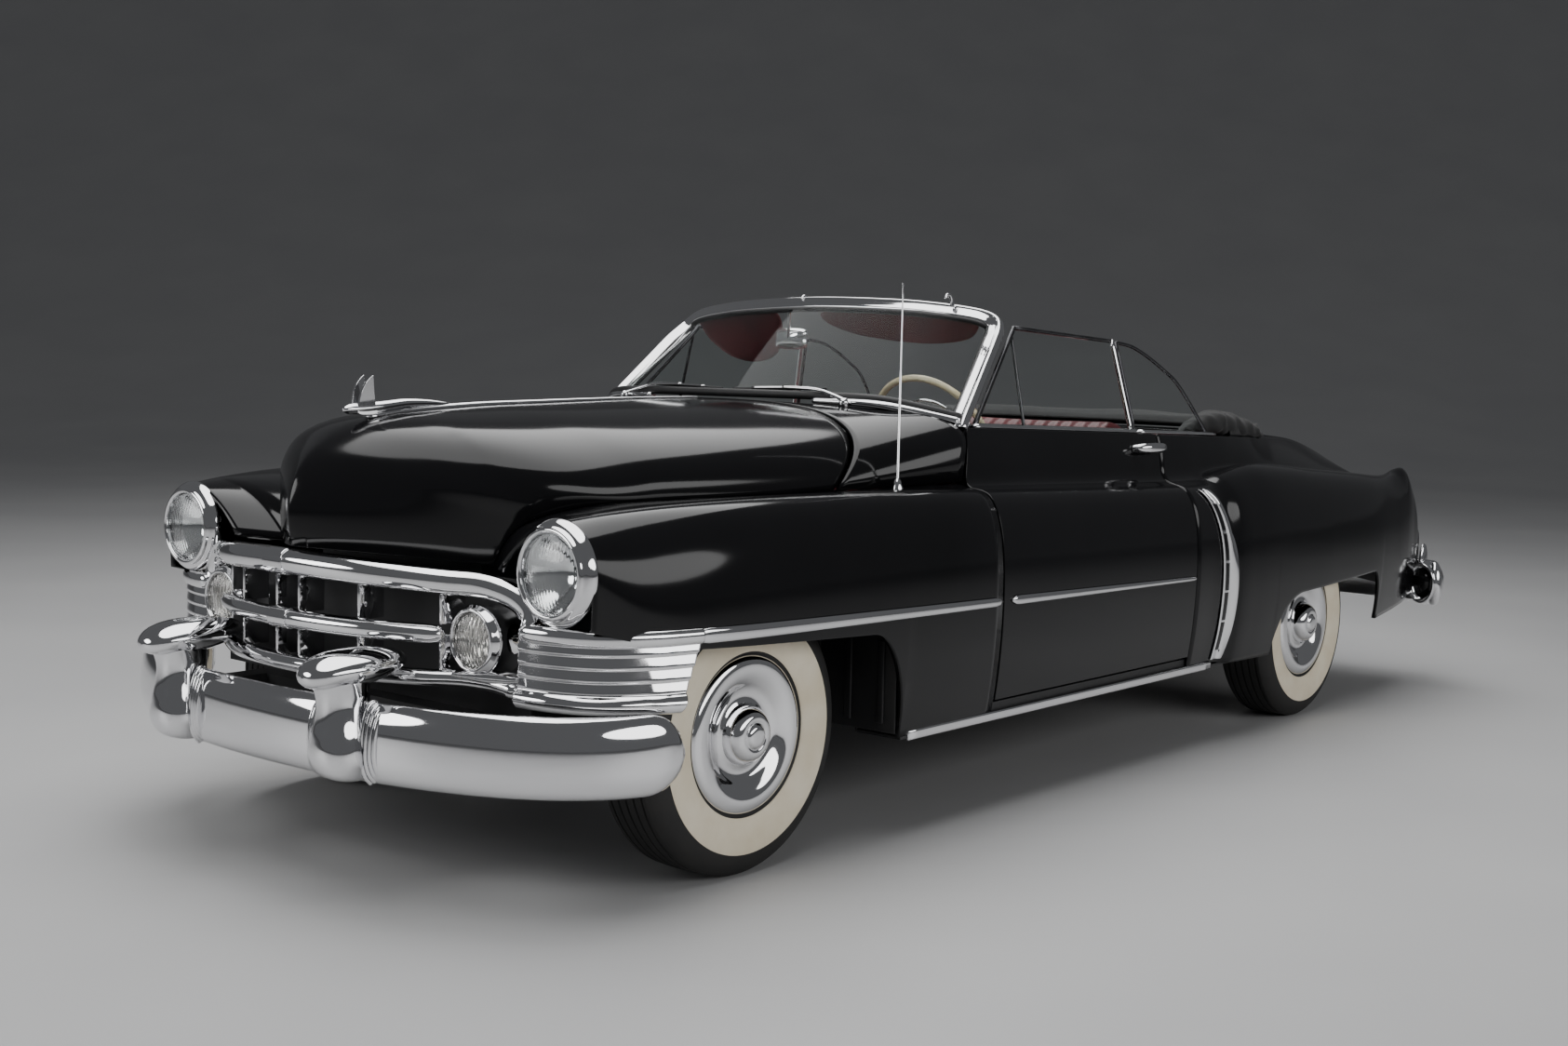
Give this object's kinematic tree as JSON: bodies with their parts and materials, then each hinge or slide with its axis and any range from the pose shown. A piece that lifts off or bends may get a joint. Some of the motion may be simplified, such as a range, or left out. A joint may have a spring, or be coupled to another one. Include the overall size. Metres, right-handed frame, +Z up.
{
  "type": "two-door convertible car",
  "caption": "Full-size open two-door car of the early fifties with folded top, bright bumpers and grille, opening doors, hood and trunk lid, steered front wheels.",
  "frame": {"origin": "on the ground at the middle of the car's length and width", "axes": "+X forward to the front bumper, +Y to the car's left, +Z up"},
  "size_m": [5.47, 2.024, 1.536],
  "materials": {
    "black_paint": "deep gloss black paint with clear coat",
    "chassis_black": "satin black chassis paint",
    "engine_iron": "painted cast iron",
    "chrome": "bright chrome plate",
    "clear_glass": "clear safety glass",
    "lamp_glass": "fluted clear lamp glass",
    "red_lens": "red moulded lens",
    "tyre_rubber": "black rubber with a wide white side band",
    "maroon_leather": "maroon hide with pleats",
    "black_cloth": "black coated cloth",
    "cream_plastic": "cream moulded rim"
  },
  "bodies": {
    "car_body": {"chassis_frame": "chassis_black", "floor_pan": "chassis_black", "trunk_pan": "chassis_black", "firewall": "chassis_black", "side_sills": "chassis_black", "engine_block": "engine_iron", "radiator": "chassis_black", "front_suspension": "chassis_black", "rear_axle": "chassis_black", "exhaust": "chassis_black", "fuel_tank": "chassis_black", "front_fender_left": "black_paint", "front_fender_right": "black_paint", "cowl": "black_paint", "windshield_frame": "chrome", "fixed_glass": "clear_glass", "dashboard": "black_paint", "steering_column": "chassis_black", "quarter_left": "black_paint", "quarter_right": "black_paint", "rear_deck": "black_paint", "tail_panel": "black_paint", "grille": "chrome", "nose_panel": "chassis_black", "front_bumper": "chrome", "rear_bumper": "chrome", "lamp_bezels": "chrome", "lamp_lenses": "lamp_glass", "tail_lamps": "red_lens", "fender_trim_left": "chrome", "fender_trim_right": "chrome", "quarter_trim_left": "chrome", "quarter_trim_right": "chrome", "antenna": "chrome", "front_seat": "maroon_leather", "rear_seat": "maroon_leather", "folded_top": "black_cloth", "mirror_visors": "maroon_leather"},
    "hood": {"hood": "black_paint", "hood_ornament": "chrome"},
    "trunk_lid": {"trunk_lid": "black_paint"},
    "door_left": {"door_left": "black_paint", "door_trim_left": "chrome", "door_glass_left": "clear_glass"},
    "door_right": {"door_right": "black_paint", "door_trim_right": "chrome", "door_glass_right": "clear_glass"},
    "steering_wheel": {"steering_wheel": "cream_plastic"},
    "knuckle_left": {"knuckle_left": "chassis_black"},
    "knuckle_right": {"knuckle_right": "chassis_black"},
    "wheel_front_left": {"tyre_fl": "tyre_rubber", "wheel_fl": "chrome"},
    "wheel_front_right": {"tyre_fr": "tyre_rubber", "wheel_fr": "chrome"},
    "wheel_rear_left": {"tyre_rl": "tyre_rubber", "wheel_rl": "chrome"},
    "wheel_rear_right": {"tyre_rr": "tyre_rubber", "wheel_rr": "chrome"}
  },
  "joints": [
    {"name": "steering", "type": "hinge", "parent": "car_body", "child": "steering_wheel", "pos_m": [0.29, 0.345, 1.085], "axis": [-0.866, 0, 0.5], "range_deg": [-742.5, 742.5]},
    {"name": "steer_left", "type": "hinge", "parent": "car_body", "child": "knuckle_left", "pos_m": [1.755, 0.69, 0.365], "axis": [0, 0, 1], "range_deg": [-33, 33]},
    {"name": "steer_right", "type": "hinge", "parent": "car_body", "child": "knuckle_right", "pos_m": [1.755, -0.69, 0.365], "axis": [0, 0, 1], "range_deg": [-33, 33]},
    {"name": "spin_front_left", "type": "hinge", "parent": "knuckle_left", "child": "wheel_front_left", "pos_m": [1.755, 0.75, 0.365], "axis": [0, 1, 0], "continuous": true},
    {"name": "spin_front_right", "type": "hinge", "parent": "knuckle_right", "child": "wheel_front_right", "pos_m": [1.755, -0.75, 0.365], "axis": [0, 1, 0], "continuous": true},
    {"name": "spin_rear_left", "type": "hinge", "parent": "car_body", "child": "wheel_rear_left", "pos_m": [-1.445, 0.8, 0.365], "axis": [0, 1, 0], "continuous": true},
    {"name": "spin_rear_right", "type": "hinge", "parent": "car_body", "child": "wheel_rear_right", "pos_m": [-1.445, -0.8, 0.365], "axis": [0, 1, 0], "continuous": true},
    {"name": "door_left_hinge", "type": "hinge", "parent": "car_body", "child": "door_left", "pos_m": [0.77, 0.952, 0.64], "axis": [0, 0, -1], "range_deg": [0, 62]},
    {"name": "door_right_hinge", "type": "hinge", "parent": "car_body", "child": "door_right", "pos_m": [0.77, -0.952, 0.64], "axis": [0, 0, 1], "range_deg": [0, 62]},
    {"name": "hood_hinge", "type": "hinge", "parent": "car_body", "child": "hood", "pos_m": [0.98, 0, 1.176], "axis": [0, -1, 0], "range_deg": [0, 50]},
    {"name": "trunk_hinge", "type": "hinge", "parent": "car_body", "child": "trunk_lid", "pos_m": [-1.46, 0, 1.074], "axis": [0, 1, 0], "range_deg": [0, 70]}
  ],
  "couplings": [
    {"joint": "steer_left", "follows": "steering", "ratio": 0.044444},
    {"joint": "steer_right", "follows": "steering", "ratio": 0.044444}
  ]
}
